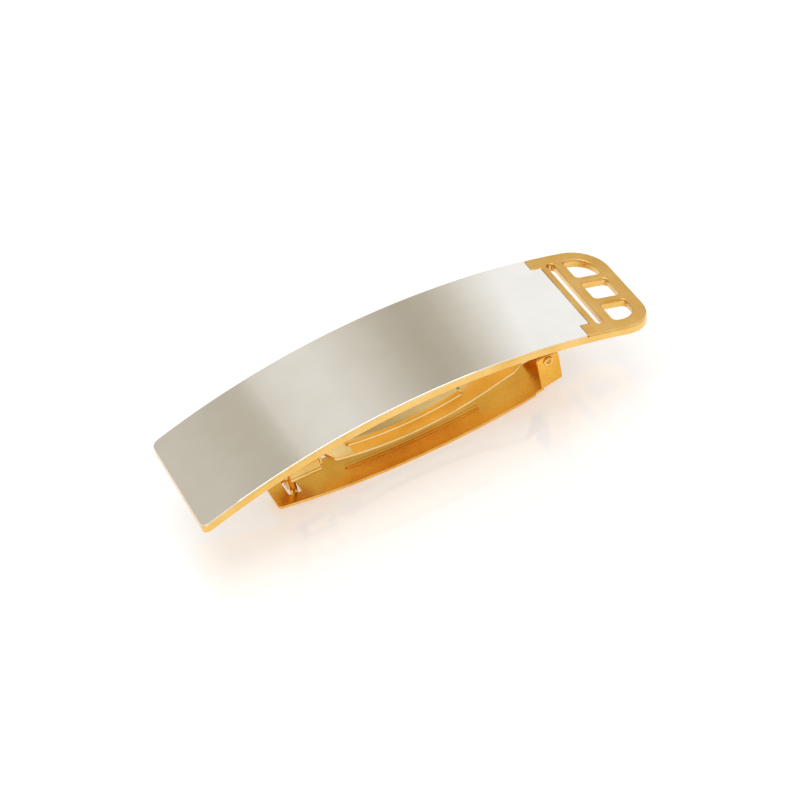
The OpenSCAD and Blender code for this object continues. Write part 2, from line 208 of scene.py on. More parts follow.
@dataclass(frozen=True)
class MetalFinish:
    """A plated and polished metal, with polishing lines, soft waves, and rounded edges drawn lighter:
    partly wear, partly a painted highlight.
    """

    name: str
    slot: str
    colour: Triple
    # Colour towards which rounded edges are lightened: partly wear, partly a painted highlight.
    deep_colour: Triple
    edge_wear_highlight_colour: Triple
    smooth: float
    rough: float
    grain: Grain = Grain.NONE
    line_bump: float = 0.02
    wave_bump: float = 0.01
    wave_scale: float = 120.0

    def build(self) -> bpy.types.Material:
        """Makes the node material, or returns the one made before.

        Returns:
            The material of this finish.
        """
        made = bpy.data.materials.get(self.name)
        if made:
            return made
        material = bpy.data.materials.new(self.name)
        material.use_nodes = True
        graph = Graph(material.node_tree)
        graph.data.nodes.clear()
        tone = graph.noise(EVEN, TONE_SCALE, TONE_DETAIL)
        colour = graph.blend(graph.spread(tone, TONE_RANGE), self.deep_colour, self.colour)
        # Rounded edges are lightened towards the lighter edge colour, broken up by the tone noise:
        # partly wear, partly a painted highlight along the bevels.
        edge = graph.node("ShaderNodeAttribute", attribute_name="edge").outputs["Fac"]
        wear_and_highlight = graph.math("MULTIPLY", edge, graph.spread(tone, WEAR_AND_HIGHLIGHT_RANGE))
        lines = graph.noise(self.grain.value, LINE_SCALE, LINE_DETAIL)
        waves = graph.noise(EVEN, self.wave_scale, WAVE_DETAIL)
        shader = graph.node("ShaderNodeBsdfPrincipled", {
            "Metallic": 1.0,
            "Base Color": graph.blend(wear_and_highlight, colour, self.edge_wear_highlight_colour),
            "Roughness": graph.spread(lines, LINE_RANGE, (self.smooth, self.rough)),
            "Normal": graph.bump(lines, self.line_bump, LINE_DEPTH,
                                 graph.bump(waves, self.wave_bump, WAVE_DEPTH))})
        graph.node("ShaderNodeOutputMaterial", {"Surface": shader.outputs["BSDF"]})
        return material


# The third colour of each finish is its lighter edge colour: partly wear, partly a painted highlight.
SILVER = MetalFinish("silver mirror", "silver_mirror", (0.915, 0.897, 0.855), (0.89, 0.87, 0.825),
                     (1.0, 0.99, 0.96), 0.012, 0.035, Grain.ALONG, 0.006, 0.003, 60.0)
SATIN_GOLD = MetalFinish("gold satin", "gold_satin", (0.78, 0.475, 0.13), (0.70, 0.40, 0.09),
                         (1.0, 0.80, 0.42), 0.26, 0.38, Grain.ACROSS, 0.12, 0.03, 240.0)
# A darker, more orange copy of the satin gold for the pierced end's window walls: painted shade in the
# windows.
SHADED_WALL_GOLD = MetalFinish("gold window walls", "gold_satin", (0.74, 0.41, 0.09), (0.62, 0.31, 0.05),
                        (0.98, 0.72, 0.32), 0.12, 0.22, Grain.NONE, 0.03, 0.02, 300.0)
PLATE_GOLD = MetalFinish("gold plate", "gold_plate", (0.84, 0.54, 0.17), (0.76, 0.47, 0.12),
                         (1.0, 0.84, 0.50), 0.12, 0.22, Grain.ALONG, 0.04, 0.02, 160.0)
BRIGHT_GOLD = MetalFinish("gold polished", "gold_polished", (0.90, 0.60, 0.20), (0.80, 0.48, 0.12),
                          (1.0, 0.85, 0.52), 0.08, 0.16, Grain.NONE, 0.04, 0.03, 260.0)
DEEP_GOLD = MetalFinish("gold orange", "gold_orange", (0.95, 0.53, 0.085), (0.86, 0.44, 0.06),
                        (1.0, 0.80, 0.42), 0.24, 0.34, Grain.ALONG, 0.06, 0.05, 120.0)
SPRING_GOLD = MetalFinish("gold spring", "gold_spring", (0.92, 0.68, 0.30), (0.86, 0.60, 0.23),
                          (1.0, 0.87, 0.58), 0.08, 0.15, Grain.ALONG, 0.04, 0.02, 140.0)


# --------------------------------------------------------------------------- outlines


def arc_points(centre: Point2, radius: float, start: float, turn: float, steps: int) -> list[Point2]:
    """Points along an arc.

    Args:
        centre: Centre of the arc.
        radius: Radius of the arc.
        start: First angle, in degrees.
        turn: Angle covered, in degrees; negative turns clockwise.
        steps: Number of stretches.

    Returns:
        steps + 1 points, in order.
    """
    angles = [math.radians(start + turn * i / steps) for i in range(steps + 1)]
    return [(centre[0] + radius * math.cos(a), centre[1] + radius * math.sin(a)) for a in angles]


def rounded(corners: Sequence[Triple], closed: bool = True) -> list[Point2]:
    """Line through corners, each rounded by a radius of its own.

    Args:
        corners: x, y and radius of each corner.
        closed: Whether the last corner joins the first.

    Returns:
        The line's points, in the order of the corners.
    """
    points: list[Point2] = []
    for i, (x, y, radius) in enumerate(corners):
        if radius == 0 or (not closed and i in (0, len(corners) - 1)):
            points.append((x, y))
            continue
        here = Vector((x, y))
        back = (Vector(corners[i - 1][:2]) - here).normalized()
        ahead = (Vector(corners[(i + 1) % len(corners)][:2]) - here).normalized()
        half = back.angle(ahead) / 2
        centre = here + (back + ahead).normalized() * radius / math.sin(half)
        first = here + back * radius / math.tan(half) - centre
        last = here + ahead * radius / math.tan(half) - centre
        start = math.degrees(math.atan2(first.y, first.x))
        turn = (math.degrees(math.atan2(last.y, last.x)) - start + 180) % 360 - 180
        count = max(2, round(CORNER_STEPS * abs(turn) / 90))
        points += arc_points(tuple(centre), radius, start, turn, count)
    return points


def mirrored(half: Sequence[Triple]) -> list[Point2]:
    """Outline that is the same on both sides of X, from the rounded corners of its far side."""
    return rounded([(x, -y, radius) for x, y, radius in half] + list(half)[::-1])


def rounded_box(x0: float, x1: float, y0: float, y1: float, *radii: float) -> list[Point2]:
    """Rectangle, anticlockwise from (x0, y0), with one radius or one for each corner."""
    a, b, c, d = radii * 4 if len(radii) == 1 else radii
    return rounded([(x0, y0, a), (x1, y0, b), (x1, y1, c), (x0, y1, d)])


def inset_outline(points: Sequence[Point2], depth: float) -> list[Point2]:
    """Moves an anticlockwise outline inwards, keeping its corners mitred.

    Args:
        points: The outline.
        depth: Distance to move inwards; a negative depth moves it outwards.

    Returns:
        As many points as the outline has.
    """
    moved = []
    for i, point in enumerate(points):
        here = Vector(point)
        first = (here - Vector(points[i - 1])).normalized()
        second = (Vector(points[(i + 1) % len(points)]) - here).normalized()
        normal, after = Vector((-first.y, first.x)), Vector((-second.y, second.x))
        middle = (normal + after).normalized()
        moved.append(tuple(here + middle * depth / max(LEAST_MITRE, middle.dot(normal))))
    return moved


def spaced(start: float, end: float, gap: float) -> list[float]:
    """Places between start and end, no further apart than gap, without the ends."""
    count = max(1, math.ceil((end - start) / gap))
    return [start + (end - start) * i / count for i in range(1, count)]


@dataclass(frozen=True)
class Arc:
    """A circular bow in the XZ plane; height 0 of a flat piece lands on its radius."""

    middle_x: float
    centre_z: float
    radius: float
    way: Way = Way.ARCH

    def height(self, x: float, lift: float = 0.0) -> float:
        """Height of the bow at x, for a point that was lift above the flat piece's zero."""
        reach = self.radius + self.way.value * lift
        return self.centre_z + self.way.value * math.sqrt(reach ** 2 - (x - self.middle_x) ** 2)


@dataclass(frozen=True)
class Path:
    """A line of points in the XZ plane that a flat piece is laid along."""

    points: tuple[Point2, ...]

    @property
    def stations(self) -> list[float]:
        """Length of the path up to each of its points."""
        total, reached = 0.0, [0.0]
        for i in range(1, len(self.points)):
            total += math.dist(self.points[i - 1], self.points[i])
            reached.append(total)
        return reached

    def length_at(self, x: float) -> float:
        """Length of the path up to where it first reaches x."""
        stations = self.stations
        for i in range(1, len(self.points)):
            before, after = self.points[i - 1][0], self.points[i][0]
            if before <= x <= after:
                share = (x - before) / (after - before)
                return stations[i - 1] + share * (stations[i] - stations[i - 1])
        return stations[-1]

    def build(self) -> Piece:
        """Makes the path as a chain of edges, for a tree to read."""
        data = bpy.data.meshes.new("path")
        steps = [(i, i + 1) for i in range(len(self.points) - 1)]
        data.from_pydata([(x, 0.0, z) for x, z in self.points], steps, [])
        return linked("path", data)


@dataclass(frozen=True)
class Rib:
    """A rib or panel pressed up out of a sheet, with round ends and a sloping foot."""

    x: float
    length: float
    width: float
    height: float
    foot: float

    @property
    def lines(self) -> list[float]:
        """Places across the rib at which the sheet must be able to bend."""
        inner = self.width / 2 - self.foot
        steps = [inner + self.foot * i / FOOT_STEPS for i in range(FOOT_STEPS + 1)]
        return sorted({side * step for side in (-1, 1) for step in steps})

    @property
    def end_lines(self) -> list[float]:
        """Places along the sheet at which the rib's round ends bend."""
        reach = self.length / 2
        ends = [reach - self.width / 2 * i / ROUND_END_STEPS for i in range(ROUND_END_STEPS + 1)]
        return [self.x + side * end for side in (-1, 1) for end in ends]


NO_RIB = Rib(0.0, 1.0, 1.0, 0.0, 0.5)  # a rib of no height
NO_BOW = Arc(0.0, -1000.0, 1000.0)  # a bow so wide that a small piece stays flat


# --------------------------------------------------------------------------- meshes


def linked(name: str, data: bpy.types.ID) -> Piece:
    """Makes an object of a mesh, camera or light and links it to the scene."""
    made = bpy.data.objects.new(name, data)
    bpy.context.scene.collection.objects.link(made)
    return made


def link_mesh(name: str, mesh: bmesh.types.BMesh,
              materials: Sequence[bpy.types.Material] = ()) -> Piece:
    """Turns a bmesh into an object at the origin and frees it."""
    data = bpy.data.meshes.new(name)
    mesh.to_mesh(data)
    mesh.free()
    for material in materials:
        data.materials.append(material)
    return linked(name, data)


@dataclass
class Solid:
    """A mesh in the making, with an "edge" value on rounded edges and a "wall" flag on faces."""

    mesh: bmesh.types.BMesh = field(default_factory=bmesh.new)

    def __post_init__(self) -> None:
        """Adds the layers that the finishes read."""
        self.edge = self.mesh.verts.layers.float.new("edge")
        self.wall = self.mesh.faces.layers.int.new("wall")

    def ring(self, points: Iterable[Point2], z: float, edge: float = 0.0) -> list[Vert]:
        """Adds a closed ring of vertices at height z."""
        made = []
        for x, y in points:
            vert = self.mesh.verts.new((x, y, z))
            vert[self.edge] = edge
            made.append(vert)
        return made

    def skin(self, low: Sequence[Vert], high: Sequence[Vert],
             wall: int = 0) -> None:
        """Joins two rings of equal length with faces."""
        for i in range(len(low)):
            j = (i + 1) % len(low)
            self.mesh.faces.new((low[i], low[j], high[j], high[i]))[self.wall] = wall

    def cap(self, rings: Sequence[Sequence[Vert]]) -> None:
        """Fills the area inside the first ring and outside the others with few faces."""
        rims = [self.mesh.edges.get((ring[i - 1], ring[i])) for ring in rings for i in range(len(ring))]
        filled = bmesh.ops.triangle_fill(self.mesh, edges=rims, use_beauty=True)["geom"]
        inner = [item for item in filled if isinstance(item, bmesh.types.BMEdge) and item not in rims]
        bmesh.ops.dissolve_limit(self.mesh, angle_limit=SAME_PLANE, verts=[], edges=inner)

    def slice_at(self, values: Iterable[float], axis: int) -> None:
        """Cuts the mesh with planes across an axis, so that it can bend there."""
        normal = Vector((0.0, 0.0, 0.0))
        normal[axis] = 1.0
        for value in sorted(set(values)):
            geometry = self.mesh.verts[:] + self.mesh.edges[:] + self.mesh.faces[:]
            bmesh.ops.bisect_plane(self.mesh, geom=geometry, dist=ON_CUT,
                                   plane_co=normal * value, plane_no=normal)

    def finish(self, name: str) -> Piece:
        """Makes the object, smooth shaded, with its faces outwards."""
        bmesh.ops.remove_doubles(self.mesh, verts=self.mesh.verts[:], dist=WELD)
        bmesh.ops.recalc_face_normals(self.mesh, faces=self.mesh.faces[:])
        for face in self.mesh.faces:
            face.smooth = True
        return link_mesh(name, self.mesh)


def stamped(name: str, outer: Sequence[Point2], low: float, high: float, bevel: float,
            holes: Sequence[Sequence[Point2]] = (), under_bevel: float = 0.0,
            slices: Iterable[float] = (), side_slices: Iterable[float] = ()) -> Piece:
    """Flat plate with rounded edges, ready to be bent.

    Args:
        name: Name of the object.
        outer: Its outline, anticlockwise.
        low: Height of its underside.
        high: Height of its upper face.
        bevel: Radius of the upper edges.
        holes: Outlines of its holes, anticlockwise.
        under_bevel: Radius of the lower edges; the upper edges' radius if it is 0.
        slices: Places along X at which it can bend.
        side_slices: Places along Y at which it can bend.

    Returns:
        The plate as an object.
    """
    solid = Solid()
    under = under_bevel or bevel
    margin = RIM * bevel
    tops, bottoms = [], []
    # Each rounded edge gets an "edge" value that peaks halfway round it; the finishes draw the edges
    # lighter there, partly as wear and partly as a painted highlight.
    quarter = [math.pi / 2 * i / BEVEL_STEPS for i in range(BEVEL_STEPS + 1)]
    for index, outline in enumerate([outer, *holes]):
        way = 1.0 if index == 0 else -1.0
        rings = [solid.ring(inset_outline(outline, way * (under + margin)), low)]
        for a in quarter:
            inset = under * (1 - math.sin(a))
            z = low + under * (1 - math.cos(a))
            rings.append(solid.ring(inset_outline(outline, way * inset), z, math.sin(2 * a) / 2))
        wall_at = len(rings) - 1
        for a in quarter:
            inset = bevel * (1 - math.cos(a))
            z = high - bevel * (1 - math.sin(a))
            rings.append(solid.ring(inset_outline(outline, way * inset), z, math.sin(2 * a)))
        rings.append(solid.ring(inset_outline(outline, way * (bevel + margin)), high))
        for i in range(len(rings) - 1):
            solid.skin(rings[i], rings[i + 1], 1 if i == wall_at else 0)
        bottoms.append(rings[0])
        tops.append(rings[-1])
    solid.cap(tops)
    solid.cap(bottoms)
    solid.slice_at(slices, 0)
    solid.slice_at(side_slices, 1)
    return solid.finish(name)


def lathe(name: str, profile: Sequence[Point2], steps: int = TURNED_STEPS) -> Piece:
    """Turns a profile of (radius, height) points about Z; a radius of 0 closes a pole.

    Args:
        name: Name of the object.
        profile: Points in order from one end to the other.
        steps: Steps in a full turn.

    Returns:
        The turned piece.
    """
    solid = Solid()
    circle = arc_points((0.0, 0.0), 1.0, 0, 360, steps)[:-1]
    rings = [solid.ring([(radius * x, radius * y) for x, y in circle], z) for radius, z in profile]
    for low, high in zip(rings, rings[1:]):
        solid.skin(low, high)
    return solid.finish(name)


def placed(piece: Piece, turn: Turn, shift: Sequence[float] = (0.0, 0.0, 0.0)) -> Piece:
    """Turns a piece in its mesh, moves it and keeps its faces outwards when it is mirrored."""
    matrix = Matrix.Translation(shift) @ Matrix(turn.value).to_4x4()
    piece.data.transform(matrix)
    if matrix.determinant() < 0:
        piece.data.flip_normals()
    return piece


def joined(name: str, parts: Sequence[Piece]) -> Piece:
    """Joins objects at the origin into one, which keeps their materials."""
    mesh = bmesh.new()
    materials: list[bpy.types.Material] = []
    for part in parts:
        start, offset = len(mesh.faces), len(materials)
        mesh.from_mesh(part.data)
        mesh.faces.ensure_lookup_table()
        for face in mesh.faces[start:]:
            face.material_index += offset
        materials += list(part.data.materials)
        bpy.data.objects.remove(part)
    return link_mesh(name, mesh, materials)


# --------------------------------------------------------------------------- geometry nodes


class FormingTree(Graph):
    """A Geometry Nodes group in the making, with short calls for what these trees need."""

    def __init__(self, name: str) -> None:
        """Makes an empty group with a geometry input and output."""
        super().__init__(bpy.data.node_groups.new(name, "GeometryNodeTree"))
        for way in ("INPUT", "OUTPUT"):
            self.data.interface.new_socket("Geometry", in_out=way, socket_type="NodeSocketGeometry")
        self.start, self.end = self.node("NodeGroupInput"), self.node("NodeGroupOutput")

    def named_input(self, name: str, kind: str = "Float", value: float = 0.0) -> Socket:
        """Adds a named input to the group.

        Args:
            name: Name of the input.
            kind: Its socket type, such as Float, Object or Material.
            value: Its default value, for a Float.

        Returns:
            The socket that carries it inside the group.
        """
        made = self.data.interface.new_socket(name, in_out="INPUT", socket_type=f"NodeSocket{kind}")
        if kind == "Float":
            made.default_value = value
        return self.start.outputs[name]

    def vector(self, operation: str, first: object, second: object) -> Socket:
        """Adds a Vector Math node on two sockets or vectors, and returns its vector."""
        made = self.node("ShaderNodeVectorMath", {0: first, 1: second}, operation=operation)
        return made.outputs["Vector"]

    def combine(self, *parts: Optional[Socket]) -> Socket:
        """Adds a Combine XYZ node and returns its vector."""
        return self.node("ShaderNodeCombineXYZ", dict(enumerate(parts))).outputs[0]

    def pressed(self) -> tuple[Socket, ...]:
        """Adds the inputs of a pressed rib, and the nodes that lift the sheet by it.

        Returns:
            The sheet's x and y, and its z lifted by the rib.
        """
        position = self.node("GeometryNodeInputPosition").outputs[0]
        x, y, z = self.node("ShaderNodeSeparateXYZ", {0: position}).outputs
        at, length, width, height, foot = (self.named_input(f"Rib {part}") for part in
                                           ("Place", "Length", "Width", "Height", "Foot"))
        half = self.math("MULTIPLY", width, 0.5)
        straight = self.math("SUBTRACT", self.math("MULTIPLY", length, 0.5), half)
        past = self.math("SUBTRACT", self.math("ABSOLUTE", self.math("SUBTRACT", x, at)), straight)
        past = self.math("MAXIMUM", past, 0.0)
        squares = self.math("ADD", self.math("MULTIPLY", past, past), self.math("MULTIPLY", y, y))
        slope = self.node("ShaderNodeMapRange", {
            "Value": self.math("SQRT", squares), "From Min": self.math("SUBTRACT", half, foot),
            "From Max": half, "To Min": height, "To Max": 0.0}, interpolation_type="SMOOTHSTEP")
        return x, y, self.math("ADD", z, slope.outputs["Result"])

    def move_and_close(self, target: Socket) -> None:
        """Sets every point's position, then ends the tree."""
        inputs = {"Geometry": self.start.outputs["Geometry"], "Position": target}
        self.close(self.node("GeometryNodeSetPosition", inputs).outputs["Geometry"])

    def close(self, geometry: Socket) -> None:
        """Ends the tree in Realize Instances and Set Material, with its walls' own finish."""
        material = self.named_input("Material", "Material")
        walls = self.named_input("Wall Material", "Material")
        flag = self.node("GeometryNodeInputNamedAttribute", {"Name": "wall"}, data_type="BOOLEAN")
        real = self.node("GeometryNodeRealizeInstances", {"Geometry": geometry})
        paint = self.node("GeometryNodeSetMaterial",
                          {"Geometry": real.outputs["Geometry"], "Material": material})
        wall_paint = self.node("GeometryNodeSetMaterial", {
            "Geometry": paint.outputs["Geometry"], "Selection": flag.outputs["Attribute"],
            "Material": walls})
        self.feed(self.end, {"Geometry": wall_paint.outputs["Geometry"]})


def arc_tree() -> FormingTree:
    """Tree that presses a rib into a flat sheet and lays it on an arc, keeping its x and y."""
    tree = FormingTree("Lay on arc")
    radius, middle = tree.named_input("Radius", value=0.1), tree.named_input("Middle X")
    centre, way = tree.named_input("Centre Height"), tree.named_input("Way", value=1.0)
    x, y, z = tree.pressed()
    reach = tree.math("ADD", radius, tree.math("MULTIPLY", z, way))
    off = tree.math("SUBTRACT", x, middle)
    squares = tree.math("SUBTRACT", tree.math("MULTIPLY", reach, reach),
                        tree.math("MULTIPLY", off, off))
    rise = tree.math("MULTIPLY", tree.math("SQRT", squares), way)
    tree.move_and_close(tree.combine(x, y, tree.math("ADD", rise, centre)))
    return tree


def path_tree() -> FormingTree:
    """Tree that presses a rib into a flat strip and lays it along a path in the XZ plane."""
    tree = FormingTree("Lay along path")
    info = tree.node("GeometryNodeObjectInfo", {"Object": tree.named_input("Path", "Object")})
    curve = tree.node("GeometryNodeMeshToCurve", {"Mesh": info.outputs["Geometry"]})
    x, y, z = tree.pressed()
    sample = tree.node("GeometryNodeSampleCurve", {"Curves": curve.outputs["Curve"], "Length": x},
                       mode="LENGTH", use_all_curves=True)
    upward = tree.vector("CROSS_PRODUCT", sample.outputs["Tangent"], (0.0, 1.0, 0.0))
    lifted = tree.vector("MULTIPLY", upward, tree.combine(z, z, z))
    line = tree.vector("ADD", sample.outputs["Position"], tree.combine(None, y, None))
    tree.move_and_close(tree.vector("ADD", line, lifted))
    return tree


def heads_tree() -> FormingTree:
    """Tree that puts a turned head on each point, along the point's normal."""
    tree = FormingTree("Heads on points")
    info = tree.node("GeometryNodeObjectInfo", {"Object": tree.named_input("Head", "Object")})
    up = tree.node("GeometryNodeInputNamedAttribute", {"Name": "up"}, data_type="FLOAT_VECTOR")
    turn = tree.node("FunctionNodeAlignRotationToVector", {"Vector": up.outputs["Attribute"]}, axis="Z")
    place = tree.node("GeometryNodeInstanceOnPoints", {
        "Points": tree.start.outputs["Geometry"], "Instance": info.outputs["Geometry"],
        "Rotation": turn.outputs["Rotation"]})
    tree.close(place.outputs["Instances"])
    return tree


class Forming:
    """The three ways in which the flat and turned pieces are brought to their shape and place."""

    def __init__(self) -> None:
        """Builds the three trees."""
        self.arc, self.path, self.heads = arc_tree(), path_tree(), heads_tree()

    @staticmethod
    def run(piece: Piece, tree: FormingTree, name: str, finish: MetalFinish,
            wall_finish: Optional[MetalFinish], inputs: dict[str, object]) -> Piece:
        """Runs a tree on a piece and returns the result as a plain mesh object.

        Args:
            piece: The object that carries the tree; it is removed.
            tree: The tree.
            name: Name of the result.
            finish: Finish of its faces.
            wall_finish: Finish of its walls, if they have one of their own.
            inputs: Value of each other named input.

        Returns:
            A new object with the evaluated mesh and no modifier.
        """
        inputs |= {"Material": finish.build(), "Wall Material": (wall_finish or finish).build()}
        modifier = piece.modifiers.new("shape", "NODES")
        modifier.node_group = tree.data
        for item in tree.data.interface.items_tree:
            if item.in_out == "INPUT" and item.name in inputs:
                modifier[item.identifier] = inputs[item.name]
        bpy.context.view_layer.update()
        graph = bpy.context.evaluated_depsgraph_get()
        data = bpy.data.meshes.new_from_object(piece.evaluated_get(graph), depsgraph=graph)
        data.name = name
        bpy.data.objects.remove(piece)
        return linked(name, data)

    @staticmethod
    def rib_inputs(rib: Optional[Rib]) -> dict[str, object]:
        """Inputs that press a rib, or none."""
        rib = rib or NO_RIB
        return {"Rib Place": rib.x, "Rib Length": rib.length, "Rib Width": rib.width,
                "Rib Height": rib.height, "Rib Foot": rib.foot}

    def on_arc(self, piece: Piece, arc: Arc, finish: MetalFinish,
               wall_finish: Optional[MetalFinish] = None, rib: Optional[Rib] = None) -> Piece:
        """Lays a flat piece on an arc."""
        inputs = {"Radius": arc.radius, "Middle X": arc.middle_x, "Centre Height": arc.centre_z,
                  "Way": arc.way.value}
        return self.run(piece, self.arc, piece.name, finish, wall_finish, inputs | self.rib_inputs(rib))

    def on_path(self, piece: Piece, path: Path, finish: MetalFinish,
                rib: Optional[Rib] = None) -> Piece:
        """Lays a flat strip along a path."""
        line = path.build()
        inputs = {"Path": line} | self.rib_inputs(rib)
        made = self.run(piece, self.path, piece.name, finish, None, inputs)
        bpy.data.objects.remove(line)
        return made

    def on_points(self, name: str, head: Piece, points: Sequence[Sequence[float]],
                  ups: Sequence[Sequence[float]], finish: MetalFinish) -> Piece:
        """Puts a copy of a turned head on each point.

        Args:
            name: Name of the result.
            head: The head, standing on the origin along Z; it is removed.
            points: Where each copy stands.
            ups: The direction in which each copy points.
            finish: Their finish.

        Returns:
            All copies as one object.
        """
        data = bpy.data.meshes.new(name)
        data.from_pydata([tuple(point) for point in points], [], [])
        layer = data.attributes.new("up", "FLOAT_VECTOR", "POINT")
        for value, up in zip(layer.data, ups):
            value.vector = up
        made = self.run(linked(name, data), self.heads, name, finish, None, {"Head": head})
        bpy.data.objects.remove(head)
        return made


# --------------------------------------------------------------------------- the barrette


@dataclass(frozen=True)
class Layout:
    """Places and sizes that several sub-assemblies share."""

    arch_r: float = 147.5 * MM
    cover_t: float = 0.5 * MM
    back_t: float = 1.5 * MM
    base_t: float = 0.7 * MM
    sheet_t: float = 0.6 * MM
    ears_w: float = 8.6 * MM
    ear_gap: float = 0.2 * MM

    @property
    def hinge(self) -> Vector:
        """Middle of the hinge pin."""
        low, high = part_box("hinge_pin")
        return (low + high) / 2

    @property
    def catch_pin(self) -> Vector:
        """Middle of the far catch pin."""
        low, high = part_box("catch_pin_far")
        return (low + high) / 2

    @property
    def arch_z(self) -> float:
        """Height of the centre of the arch, far below the plate."""
        return CAD_BOX[1].z - self.arch_r

    def arch(self, depth: float) -> Arc:
        """The plate's arch, depth below its upper face."""
        return Arc(0.0, self.arch_z, self.arch_r - depth)

    @property
    def base_top(self) -> float:
        """Depth of the clip's base strip below the plate's upper face."""
        return self.cover_t + self.back_t

    @property
    def base_w(self) -> float:
        """Width of the base strip, between the closing bar's ears."""
        return self.ears_w - 2 * self.sheet_t - 2 * self.ear_gap


def hand_over(piece: Piece, body: str, slot: str, *nodes: str) -> None:
    """Hangs a piece on the body that it rides on, hides the nodes that it stands for and logs both."""
    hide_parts(*nodes)
    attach(piece, body)
    log.info("%s rides on %s and stands for %s: %d faces", piece.name, body, ", ".join(nodes),
             len(piece.data.polygons))


@dataclass
class Assembly:
    """What every sub-assembly is given: the shared sizes, and the trees that form its pieces."""

    layout: Layout
    forming: Forming


@dataclass
class PlateAssembly(Assembly):
    """The silver cover sheet, the pierced gold end and the gold plate under both."""

    plain_corner: float = 1.4 * MM
    pierced_corner: float = 6.5 * MM
    pierced_l: float = 12.6 * MM
    lug_w: float = 3.4 * MM
    lug_l: float = 1.9 * MM
    lug_corner: float = 0.3 * MM
    seam: float = 0.03 * MM
    strip_w: float = 1.3 * MM
    slot_w: float = 1.5 * MM
    stem_w: float = 1.9 * MM
    border_w: float = 2.6 * MM
    bar_w: float = 1.4 * MM
    pane_corner: float = 0.9 * MM
    panes: int = 3
    bend_gap: float = 0.6 * MM
    cover_edge: float = 0.12 * MM
    ornament_edge: float = 0.18 * MM
    backing_edge: float = 0.10 * MM
    inner_edge: float = 0.05 * MM
    hem_edge: float = 0.30 * MM

    def __post_init__(self) -> None:
        """Takes the plate's size from the frame."""
        low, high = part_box("back_plate")
        self.half_l, self.half_w = high.x, high.y
        self.strip_x = self.half_l - self.pierced_l

    def openings(self) -> list[list[Point2]]:
        """Outlines of the cross slot and the window panes."""
        slot_x = self.strip_x + self.strip_w
        field = self.half_w - self.border_w
        slot = rounded_box(slot_x, slot_x + self.slot_w, -field, field, self.slot_w * ROUND_END)
        start = slot_x + self.slot_w + self.stem_w
        end = self.half_l - self.border_w
        width = (2 * field - (self.panes - 1) * self.bar_w) / self.panes
        outlines = [slot]
        for i in range(self.panes):
            low = -field + i * (width + self.bar_w)
            radii = [self.pane_corner] * 4
            if i == 0:
                radii[1] = self.pierced_corner - self.border_w
            if i == self.panes - 1:
                radii[2] = self.pierced_corner - self.border_w
            outlines.append(rounded_box(start, end, low, low + width, *radii))
        return outlines

    def build(self) -> None:
        """Builds and dresses the three layers."""
        slices = spaced(-self.half_l, self.half_l, self.bend_gap)
        half_l, half_w, corner = self.half_l, self.half_w, self.lug_corner
        notch, lug, seam = half_w - self.lug_w, self.strip_x - self.lug_l, self.seam
        plain, round_end = self.plain_corner, self.pierced_corner
        cover = mirrored([(-half_l, half_w, plain), (lug - seam, half_w, corner),
                          (lug - seam, notch - seam, corner),
                          (self.strip_x - seam, notch - seam, corner)])
        arch = self.layout.arch(0.0)
        cover_t = self.layout.cover_t
        sheet = stamped("silver_cover", cover, -cover_t, 0.0, self.cover_edge,
                        under_bevel=self.inner_edge, slices=slices)
        sheet = self.forming.on_arc(sheet, arch, SILVER, PLATE_GOLD)
        hand_over(sheet, "head", SILVER.slot, "cover_sheet")

        pierced = rounded([(lug, -half_w, corner), (half_l, -half_w, round_end),
                           (half_l, half_w, round_end), (lug, half_w, corner), (lug, notch, corner),
                           (self.strip_x, notch, corner), (self.strip_x, -notch, corner),
                           (lug, -notch, corner)])
        end = stamped("pierced_end", pierced, -cover_t, 0.0, self.ornament_edge, self.openings(),
                      self.inner_edge, slices)
        # The window walls take the darker copy of the satin gold: painted shade.
        end = self.forming.on_arc(end, arch, SATIN_GOLD, SHADED_WALL_GOLD)
        hand_over(end, "head", SATIN_GOLD.slot, "end_ornament")

        outline = rounded_box(-half_l, half_l, -half_w, half_w, plain, round_end, round_end, plain)
        backing = stamped("gold_backing", outline, -self.layout.back_t, 0.0, self.backing_edge,
                          self.openings(), self.hem_edge, slices)
        backing = self.forming.on_arc(backing, self.layout.arch(cover_t), PLATE_GOLD)
        hand_over(backing, "head", PLATE_GOLD.slot, "back_plate")


